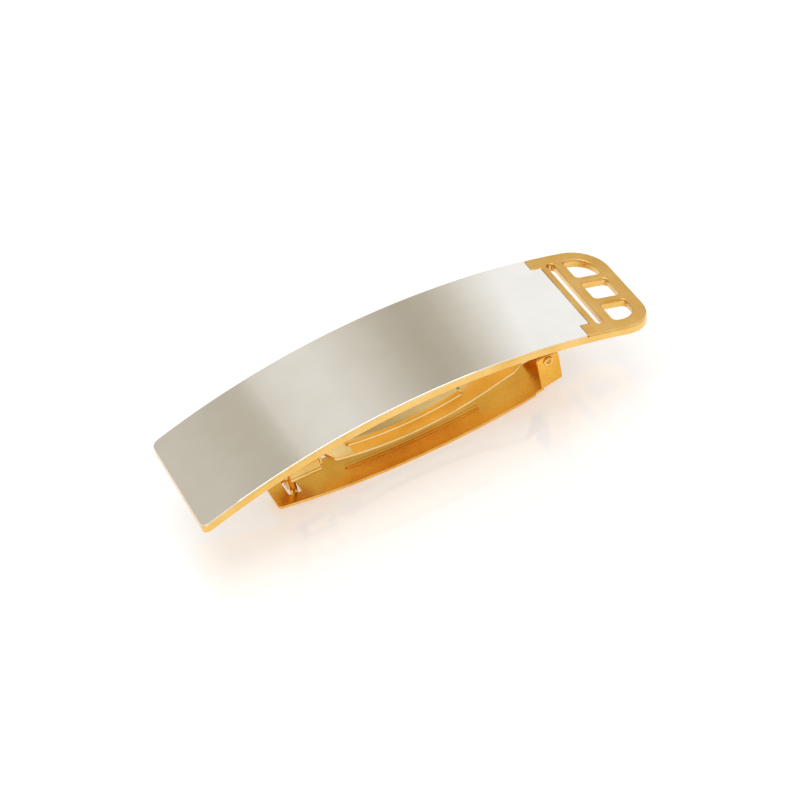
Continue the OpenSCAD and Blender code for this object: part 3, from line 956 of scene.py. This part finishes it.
@dataclass
class ClipBase(Assembly):
    """What is riveted under the plate: base strip with its ears, rivets, hinge pin and catch."""

    window_x: float = -2 * MM
    window_l: float = 30 * MM
    window_w: float = 3 * MM
    end_corner: float = 1.2 * MM
    ear_r: float = 1.7 * MM
    ear_steps: int = 24
    ear_lean_front: float = 1.4 * MM
    ear_lean_back: float = 0.7 * MM
    rivet_x: float = 20.4 * MM
    catch_x: float = -24 * MM
    rivet_head_r: float = 1.35 * MM
    rivet_shank: tuple[Point2, ...] = ((0.0, -0.9 * MM), (0.8 * MM, -0.9 * MM), (0.8 * MM, 0.0))
    rivet_head: tuple[Point2, ...] = (
        (0.96, 0.0), (1.0, 0.08 * MM), (0.97, 0.17 * MM), (0.86, 0.32 * MM), (0.66, 0.45 * MM),
        (0.42, 0.52 * MM), (0.36, 0.50 * MM), (0.2, 0.44 * MM), (0.0, 0.429 * MM))
    pin_r: float = 0.6 * MM
    pin_head_r: float = 1.0 * MM
    pin_head_t: float = 0.35 * MM
    pin_head: tuple[Point2, ...] = (
        (0.9, 0.0), (1.0, 0.07 * MM), (1.0, 0.2 * MM), (0.93, 0.29 * MM), (0.8, 0.35 * MM),
        (0.62, 0.31 * MM))
    pin_bore: tuple[Point2, ...] = (
        (0.462 * MM, 0.2 * MM), (0.42 * MM, 0.1 * MM), (0.42 * MM, -0.8 * MM), (0.0, -0.85 * MM))
    catch_pin_r: float = 0.4 * MM
    catch_pin_steps: int = 28
    tongue_slot_w: float = 3.4 * MM
    tongue_slot_low: float = 0.6 * MM
    tongue_slot_h: float = 3.66 * MM
    tongue_slot_corner: float = 0.25 * MM
    housing_corner: float = 0.9 * MM
    housing_bend: float = 0.5 * MM
    strip_edge: float = 0.12 * MM
    edge: float = 0.1 * MM
    bend_gap: float = 1.0 * MM

    def base_strip(self) -> Piece:
        """The arched strip with its window and two fixed hinge ears."""
        layout = self.layout
        low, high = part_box("base_strip")
        half_w = layout.base_w / 2
        window = rounded_box(self.window_x - self.window_l / 2, self.window_x + self.window_l / 2,
                             -self.window_w / 2, self.window_w / 2, self.window_w * ROUND_END)
        strip = stamped("strip", rounded_box(low.x, high.x, -half_w, half_w, self.end_corner),
                        -layout.base_t, 0.0, self.strip_edge, [window],
                        slices=spaced(low.x, high.x, self.bend_gap))
        parts = [self.forming.on_arc(strip, layout.arch(layout.base_top), PLATE_GOLD)]
        hinge, crown = layout.hinge, CAD_BOX[1].z
        arch = layout.arch(layout.base_top + layout.base_t / 2)
        sides = []
        for way, lean in ((-1, self.ear_lean_front), (1, self.ear_lean_back)):
            foot = hinge.x + way * self.ear_r
            top = foot + way * lean * (arch.height(foot) - hinge.z) / (crown - hinge.z)
            sides.append((top, arch.height(top)))
        outline = sides[::-1] + arc_points((hinge.x, hinge.z), self.ear_r, 180, 180, self.ear_steps)
        for side in (-1, 1):
            ear = stamped("ear", outline, -layout.sheet_t / 2, layout.sheet_t / 2, self.edge)
            ear = self.forming.on_arc(ear, NO_BOW, PLATE_GOLD)
            shift = (0.0, side * (layout.base_w - layout.sheet_t) / 2, 0.0)
            parts.append(placed(ear, Turn.UPRIGHT, shift))
        return joined("clip_base", parts)

    def rivets(self) -> Piece:
        """Both rivets, each a short shank with a domed and dimpled head."""
        layout = self.layout
        profile = self.rivet_shank + tuple((self.rivet_head_r * r, z) for r, z in self.rivet_head)
        places, ups = [], []
        for x, depth in ((self.rivet_x, layout.base_top + layout.base_t),
                         (self.catch_x, layout.base_top + layout.base_t + layout.sheet_t)):
            arch = layout.arch(depth)
            direction = Vector((x, 0.0, arch.height(x) - arch.centre_z)).normalized()
            places.append(Vector((0.0, 0.0, arch.centre_z)) + direction * arch.radius)
            ups.append(-direction)
        return self.forming.on_points("rivets", lathe("head", profile), places, ups, BRIGHT_GOLD)

    def hinge_pin(self) -> Piece:
        """The hinge pin with a rolled, hollow head at each end."""
        thick, half = self.pin_head_t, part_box("hinge_pin")[1].y
        profile = [(0.0, thick - half), (self.pin_r, thick - half), (self.pin_r, 0.0)]
        profile += [(self.pin_head_r * r, z) for r, z in self.pin_head] + list(self.pin_bore)
        hinge = self.layout.hinge
        places = [(hinge.x, side * (half - thick), hinge.z) for side in (-1, 1)]
        return self.forming.on_points("hinge_pin_rolled", lathe("head", profile), places,
                                      [(0, -1, 0), (0, 1, 0)], BRIGHT_GOLD)

    def catch_housing(self) -> Piece:
        """The catch's bracket, folded from one strip, with the slot that guides the tongue."""
        layout = self.layout
        low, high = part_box("catch_bracket")
        half_t, bend = layout.sheet_t / 2, self.housing_bend
        arch = layout.arch(layout.base_top + layout.base_t + half_t)
        front, back = low.x + half_t, high.x - half_t
        path = Path(tuple(rounded([(front, low.z, 0), (front, arch.height(front), bend),
                                   (back, arch.height(back), bend), (back, low.z, 0)], False)))
        total = path.stations[-1]
        slot_end = total - self.tongue_slot_low
        half_slot = self.tongue_slot_w / 2
        slot = rounded_box(slot_end - self.tongue_slot_h, slot_end, -half_slot, half_slot,
                           self.tongue_slot_corner)
        outline = rounded_box(0.0, total, -high.y, high.y, self.housing_corner)
        blank = stamped("catch_housing", outline, -half_t, half_t, self.edge, [slot],
                        slices=path.stations[1:-1])
        return self.forming.on_path(blank, path, BRIGHT_GOLD)

    def catch_pins(self) -> Piece:
        """Both catch pins, each with a small upset head."""
        low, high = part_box("catch_pin_far")
        pin, radius, reach = self.layout.catch_pin, self.catch_pin_r, high.x - low.x
        wide = high.y - pin.y
        profile = [(0.0, 0.02 * MM), (radius * 0.7, 0.0), (radius, 0.1 * MM),
                   (radius, reach - 0.3 * MM), (wide * 0.92, reach - 0.3 * MM),
                   (wide, reach - 0.22 * MM), (wide, reach - 0.12 * MM),
                   (wide * 0.7, reach - 0.02 * MM), (0.0, reach)]
        places = [(low.x, side * pin.y, pin.z) for side in (-1, 1)]
        head = lathe("head", profile, self.catch_pin_steps)
        return self.forming.on_points("catch_pins", head, places, [(1, 0, 0)] * 2, BRIGHT_GOLD)

    def build(self) -> None:
        """Builds and dresses every piece that is fixed under the plate."""
        hand_over(self.base_strip(), "head", PLATE_GOLD.slot, "base_strip")
        hand_over(self.rivets(), "head", BRIGHT_GOLD.slot, "rivet_hinge_side", "rivet_catch_side")
        hand_over(self.hinge_pin(), "head", BRIGHT_GOLD.slot, "hinge_pin")
        hand_over(self.catch_housing(), "head", BRIGHT_GOLD.slot, "catch_bracket")
        hand_over(self.catch_pins(), "head", BRIGHT_GOLD.slot, "catch_pin_near", "catch_pin_far")


@dataclass
class ClosingBar(Assembly):
    """The bowed lower bar with its rib, catch hole and the channel of its hinge ears."""

    bow_r: float = 162 * MM
    low_x: float = -1.2 * MM
    ear_front: float = 2.3 * MM
    neck_l: float = 1.4 * MM
    ear_corner: float = 0.8 * MM
    bend_r: float = 0.55 * MM
    hole_x: float = -26.4 * MM
    hole_l: float = 2.6 * MM
    hole_half_w: float = 2.1 * MM
    rib_l: float = 29 * MM
    rib_w: float = 1.6 * MM
    rib_h: float = 0.3 * MM
    rib_foot: float = 0.55 * MM
    end_corner: float = 0.7 * MM
    neck_corner: float = 0.25 * MM
    inner_corner: float = 0.1 * MM
    hole_corner: float = 0.35 * MM
    overlap: float = 0.5 * MM
    edge: float = 0.12 * MM
    sheet_bend_gap: float = 0.8 * MM
    ear_bend_gap: float = 1.0 * MM

    @property
    def bow(self) -> Arc:
        """The bow of the bar's underside."""
        return Arc(self.low_x, self.bow_r, self.bow_r, Way.CRADLE)

    def sheet(self) -> Piece:
        """The bar in front of the hinge, with its pressed rib and catch hole."""
        low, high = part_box("closing_bar")
        neck = self.layout.hinge.x - self.ear_front - self.neck_l
        end, half_neck = neck + self.neck_l + self.overlap, self.layout.ears_w / 2
        rib = Rib(self.low_x, self.rib_l, self.rib_w, self.rib_h, self.rib_foot)
        hole = rounded_box(self.hole_x - self.hole_l / 2, self.hole_x + self.hole_l / 2,
                           -self.hole_half_w, self.hole_half_w, self.hole_corner)
        half = [(low.x, high.y, self.end_corner), (neck, high.y, self.neck_corner),
                (neck, half_neck, self.inner_corner), (end, half_neck, self.neck_corner)]
        outline = mirrored(half)
        flat = stamped("bar", outline, 0.0, self.layout.sheet_t, self.edge, [hole],
                       slices=spaced(low.x, end, self.sheet_bend_gap) + rib.end_lines,
                       side_slices=rib.lines)
        return self.forming.on_arc(flat, self.bow, DEEP_GOLD, rib=rib)

    def channel(self) -> Piece:
        """The two hinge ears and the floor between them, bent from one blank."""
        layout, high = self.layout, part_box("closing_bar")[1]
        half_t = layout.sheet_t / 2
        front, back = layout.hinge.x - self.ear_front, high.x
        side = layout.ears_w / 2 - half_t
        tall = high.z - self.bow.height(front)
        drop = self.bow.height(back) - self.bow.height(front)
        path = Path(tuple(rounded([(-side, tall, 0), (-side, half_t, self.bend_r),
                                   (side, half_t, self.bend_r), (side, tall, 0)], False)))
        total, corner = path.stations[-1], self.ear_corner
        outline = rounded([(0.0, front, corner), (total, front, corner), (total - drop, back, corner),
                           (drop, back, corner)])
        blank = stamped("channel", outline, -half_t, half_t, self.edge, slices=path.stations[1:-1],
                        side_slices=spaced(front, back, self.ear_bend_gap))
        made = placed(self.forming.on_path(blank, path, DEEP_GOLD), Turn.CROSSWISE)
        for vert in made.data.vertices:
            vert.co.z += self.bow.height(vert.co.x)
        return made

    def build(self) -> None:
        """Builds and dresses the bar."""
        hand_over(joined("closing_clip_bar", [self.sheet(), self.channel()]), "closing_bar",
                  DEEP_GOLD.slot, "closing_bar")


@dataclass
class SpringBar(Assembly):
    """The bowed spring between the plate and the closing bar, curled round the hinge pin."""

    thick: float = 0.5 * MM
    width: float = 7.6 * MM
    tongue_w: float = 3 * MM
    bow_r: float = 70 * MM
    low_x: float = -2 * MM
    hair_gap: float = 4.9 * MM
    eye_w: float = 5.4 * MM
    eye_r: float = 0.9 * MM
    curl: float = 300.0
    bow_steps: int = 48
    crest_steps: int = 20
    eye_steps: int = 60
    shoulder_l: float = 1.6 * MM
    shoulder_gap: float = 1.0 * MM
    neck_l: float = 2.4 * MM
    waist_gap: float = 4.7 * MM
    panel_foot: float = 0.3 * MM
    panel_l: float = 26 * MM
    panel_w: float = 2.6 * MM
    panel_h: float = 0.3 * MM
    tongue_corners: Point2 = (0.4 * MM, 0.6 * MM)
    corner: float = 0.9 * MM
    eye_corner: float = 0.2 * MM
    edge: float = 0.12 * MM

    def path(self) -> Path:
        """Middle line of the strip, from its tongue over the crest and round the pin."""
        hinge = self.layout.hinge
        low_z = self.layout.sheet_t + self.hair_gap + self.thick / 2
        across, rise = hinge.x - self.low_x, hinge.z + self.eye_r - low_z
        turn = 2 * math.degrees(math.atan(rise / across))
        crest_r = across / math.sin(math.radians(turn)) - self.bow_r
        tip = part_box("tension_bar")[0].x
        start = math.degrees(math.asin((tip - self.low_x) / self.bow_r))
        bow = arc_points((self.low_x, low_z + self.bow_r), self.bow_r, start - 90, turn - start,
                         self.bow_steps)
        crest = arc_points((hinge.x, hinge.z + self.eye_r - crest_r), crest_r, 90 + turn, -turn,
                           self.crest_steps)
        eye = arc_points((hinge.x, hinge.z), self.eye_r, 90, -self.curl, self.eye_steps)
        return Path(tuple(bow + crest[1:] + eye[1:]))

    def build(self) -> None:
        """Builds and dresses the spring bar."""
        path, layout = self.path(), self.layout
        shoulder = path.length_at(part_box("catch_bracket")[1].x + self.shoulder_gap)
        waist = path.length_at(layout.hinge.x - self.waist_gap)
        total, full, tip, eye = path.stations[-1], self.width / 2, self.tongue_w / 2, self.eye_w / 2
        (first, second), corner = self.tongue_corners, self.corner
        half = [(0.0, tip, first), (shoulder, tip, second), (shoulder + self.shoulder_l, full, corner),
                (waist - self.neck_l, full, corner), (waist, eye, corner),
                (total, eye, self.eye_corner)]
        outline = mirrored(half)
        panel = Rib(path.length_at(self.low_x), self.panel_l, self.panel_w, self.panel_h,
                    self.panel_foot)
        flat = stamped("spring_bar", outline, -self.thick / 2, self.thick / 2, self.edge,
                       slices=path.stations[1:-1] + panel.end_lines, side_slices=panel.lines)
        bar = self.forming.on_path(flat, path, SPRING_GOLD, panel)
        hand_over(bar, "tension_bar", SPRING_GOLD.slot, "tension_bar")


@dataclass
class CatchWings(Assembly):
    """The two sprung wings: rolled finger pads with a hooked leg each."""

    thick: float = 0.45 * MM
    barrel_r: float = 0.675 * MM
    curl_r: float = 0.68 * MM
    curl_out: float = 1.48 * MM
    barrel_turn: float = 270.0
    curl_turn: float = 300.0
    barrel_steps: int = 54
    curl_steps: int = 50
    leg_l: float = 1.4 * MM
    leg_y: float = 0.9 * MM
    hook_y: float = 2.5 * MM
    hook_t: float = 0.6 * MM
    ramp: float = 0.4 * MM
    shoulder_drop: float = 1.2 * MM
    hinge_drop: Point2 = (0.75 * MM, 0.5 * MM)
    hook_corner: float = 0.15 * MM
    small_corner: float = 0.1 * MM
    knee: float = 0.5 * MM
    pad_corner: float = 0.25 * MM
    pad_edge: float = 0.1 * MM
    leg_edge: float = 0.05 * MM

    def wing(self, near: bool) -> Piece:
        """Builds one wing; the far one is the near one's mirror image."""
        pin, sheet_t = self.layout.catch_pin, self.layout.sheet_t
        low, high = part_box("catch_wing_near")
        curl = (pin.y + self.curl_out, pin.z - self.curl_out)
        barrel = arc_points((pin.y, pin.z), self.barrel_r, 315, -self.barrel_turn, self.barrel_steps)
        roll = arc_points(curl, self.curl_r, 45, -self.curl_turn, self.curl_steps)
        path = Path(tuple(barrel + roll))
        total, length = path.stations[-1], high.x - low.x
        pad = stamped("pad", rounded_box(0.0, total, 0.0, length, self.pad_corner), -self.thick / 2,
                      self.thick / 2, self.pad_edge, slices=path.stations[1:-1])
        shift = (low.x, 0.0, 0.0)
        pad = placed(self.forming.on_path(pad, path, BRIGHT_GOLD), Turn.CROSSWISE, shift)

        hook_low, hook_top, shoulder = low.z, low.z + self.hook_t, pin.z - self.shoulder_drop
        leg_in, knee, small = self.leg_y + sheet_t, self.knee, self.small_corner
        leg = rounded([(self.leg_y, hook_low, self.hook_corner),
                       (self.hook_y - self.ramp, hook_low, self.hook_corner),
                       (self.hook_y, hook_top - self.hook_t / 2, small), (self.hook_y, hook_top, small),
                       (leg_in, hook_top, small), (leg_in, shoulder, knee),
                       (pin.y, pin.z - self.hinge_drop[0], small),
                       (pin.y, pin.z - self.hinge_drop[1], small),
                       (self.leg_y, shoulder + sheet_t, knee)])
        leg = self.forming.on_arc(stamped("leg", leg, 0.0, self.leg_l, self.leg_edge), NO_BOW,
                                  BRIGHT_GOLD)
        placed(leg, Turn.UPRIGHT_CROSSWISE, shift)
        made = joined("wing_near_rolled" if near else "wing_far_rolled", [pad, leg])
        return made if near else placed(made, Turn.MIRRORED)

    def build(self) -> None:
        """Builds and dresses both wings."""
        hand_over(self.wing(True), "wing_near", BRIGHT_GOLD.slot, "catch_wing_near")
        hand_over(self.wing(False), "wing_far", BRIGHT_GOLD.slot, "catch_wing_far")


@dataclass
class Studio:
    """Pale floor, soft light all round and the camera."""

    azimuth: float = -16.31
    elevation: float = 41.80
    roll: float = -13.25
    distance: float = 480 * MM
    lens: float = 115.155
    sensor: float = 36.0
    aim_x: float = -1.80 * MM
    aim_z: float = 11.26 * MM
    floor_half: float = 1.5
    floor_corner: float = 0.2
    floor_low: float = -0.01
    floor_top: float = -0.02 * MM
    floor_edge: float = 0.004
    floor_glow: float = 0.42
    floor_sheen: Point2 = (0.02, 0.05)
    floor_grain: float = 6.0
    clip: Point2 = (0.01, 20.0)
    horizon_low: float = 0.10
    horizon_high: float = 0.26
    horizon_level: float = 0.12
    backdrop: Triple = (0.62, 0.62, 0.63)
    tent: tuple[tuple[float, float], ...] = (
        (-180, 0.90), (-120, 1.0), (-70, 0.72), (-40, 0.66), (-22, 0.62), (-18, 0.60), (-14, 0.56),
        (-10.4, 0.54), (-7.3, 0.56), (-6.6, 0.67), (-3.4, 0.75), (-0.7, 0.79), (3.9, 0.79),
        (8.3, 0.73), (12.6, 0.64), (16.7, 0.53), (20.5, 0.465), (24.0, 0.53), (26.0, 0.61),
        (28.0, 0.72), (30.4, 0.85), (31.3, 0.91), (31.6, 0.965), (60, 1.0), (110, 0.72), (150, 0.95))
    lamp_set: tuple[tuple[str, Triple, float, float], ...] = (
        ("overhead", (0.0, 0.05, 0.8), 0.6, 2.2), ("side", (-0.7, -0.5, 0.35), 0.35, 0.5))

    def camera(self) -> None:
        """Sets up the camera."""
        az, el, roll = (math.radians(a) for a in (self.azimuth, self.elevation, self.roll))
        back = Vector((math.sin(az) * math.cos(el), -math.cos(az) * math.cos(el), math.sin(el)))
        right = Vector((math.cos(az), math.sin(az), 0.0))
        up = back.cross(right)
        level = right * math.cos(roll) + up * math.sin(roll)
        upright = up * math.cos(roll) - right * math.sin(roll)
        data = bpy.data.cameras.new("camera")
        data.lens, data.sensor_width = self.lens, self.sensor
        data.clip_start, data.clip_end = self.clip
        made = linked("camera", data)
        turn = Matrix((level, upright, back)).transposed().to_4x4()
        target = Vector((self.aim_x, 0.0, self.aim_z))
        made.matrix_world = Matrix.Translation(target + back * self.distance) @ turn
        bpy.context.scene.camera = made

    def floor(self) -> None:
        """Makes the pale floor with rounded corners and a faint sheen."""
        size = self.floor_half
        outline = rounded_box(-size, size, -size, size, self.floor_corner)
        piece = stamped("floor", outline, self.floor_low, self.floor_top, self.floor_edge)
        material = bpy.data.materials.new("pale floor")
        material.use_nodes = True
        graph = Graph(material.node_tree)
        place = graph.node("ShaderNodeTexCoord").outputs["Object"]
        noise = graph.node("ShaderNodeTexNoise", {"Vector": place, "Scale": self.floor_grain})
        noise = noise.outputs["Fac"]
        graph.feed(graph.data.nodes["Principled BSDF"], {
            "Base Color": (0.66, 0.66, 0.67, 1.0), "Emission Color": (0.97, 0.98, 1.0, 1.0),
            "Emission Strength": self.floor_glow, "IOR": 2.0,
            "Roughness": graph.spread(noise, (0.0, 1.0), self.floor_sheen)})
        piece.data.materials.append(material)

    def surround(self) -> None:
        """Lights the scene from all sides, brighter and darker by direction, like a tent."""
        world = bpy.data.worlds.new("light tent")
        bpy.context.scene.world = world
        world.use_nodes = True
        graph = Graph(world.node_tree)
        place = graph.node("ShaderNodeTexCoord").outputs["Generated"]
        x, y, z = graph.node("ShaderNodeSeparateXYZ", {0: place}).outputs
        turn = graph.spread(graph.math("ARCTAN2", x, y), (-math.pi, math.pi))
        ramp = graph.node("ShaderNodeValToRGB", {"Fac": turn})
        for _ in self.tent[2:]:
            ramp.color_ramp.elements.new(0.5)
        for stop, (degrees, level) in zip(ramp.color_ramp.elements, self.tent):
            stop.position = (degrees + 180) / 360
            stop.color = self.tent_colour(level)
        horizon = (self.horizon_low, self.horizon_high)
        light = graph.feed(graph.data.nodes["Background"], {
            "Color": ramp.outputs["Color"],
            "Strength": graph.spread(z, horizon, (self.horizon_level, 1.0))})
        backdrop = graph.node("ShaderNodeBackground", {"Color": (*self.backdrop, 1.0)})
        seen = graph.node("ShaderNodeLightPath").outputs["Is Camera Ray"]
        choice = graph.node("ShaderNodeMixShader",
                            {0: seen, 1: light.outputs[0], 2: backdrop.outputs[0]})
        graph.feed(graph.data.nodes["World Output"], {"Surface": choice.outputs[0]})

    @staticmethod
    def tent_colour(level: float) -> tuple[float, ...]:
        """Colour of the tent at a brightness: warmer where it is darker."""
        green = level * min(1.0, 0.83 + 0.17 * level)
        blue = level * min(1.0, 0.50 + 0.51 * level)
        return level, green, blue, 1.0

    def lamps(self) -> None:
        """Adds the overhead softbox and a low side light."""
        for name, place, size, watts in self.lamp_set:
            data = bpy.data.lights.new(name, "AREA")
            data.size, data.energy = size, watts
            lamp = linked(name, data)
            lamp.location = place
            lamp.rotation_euler = Vector(place).to_track_quat("Z", "Y").to_euler()

    def build(self) -> None:
        """Sets up the camera, floor and lights."""
        bpy.context.scene.view_settings.view_transform = "Standard"
        self.camera()
        self.floor()
        self.surround()
        self.lamps()
        log.info("studio set: camera %.0f mm away", self.distance / MM)


def main() -> None:
    """Builds the studio and every piece of the barrette, in order."""
    logging.basicConfig(level=logging.INFO, format="%(name)s: %(message)s")
    Studio().build()
    layout, forming = Layout(), Forming()
    PlateAssembly(layout, forming).build()
    ClipBase(layout, forming).build()
    ClosingBar(layout, forming).build()
    SpringBar(layout, forming).build()
    CatchWings(layout, forming).build()


if __name__ == "__main__":
    main()
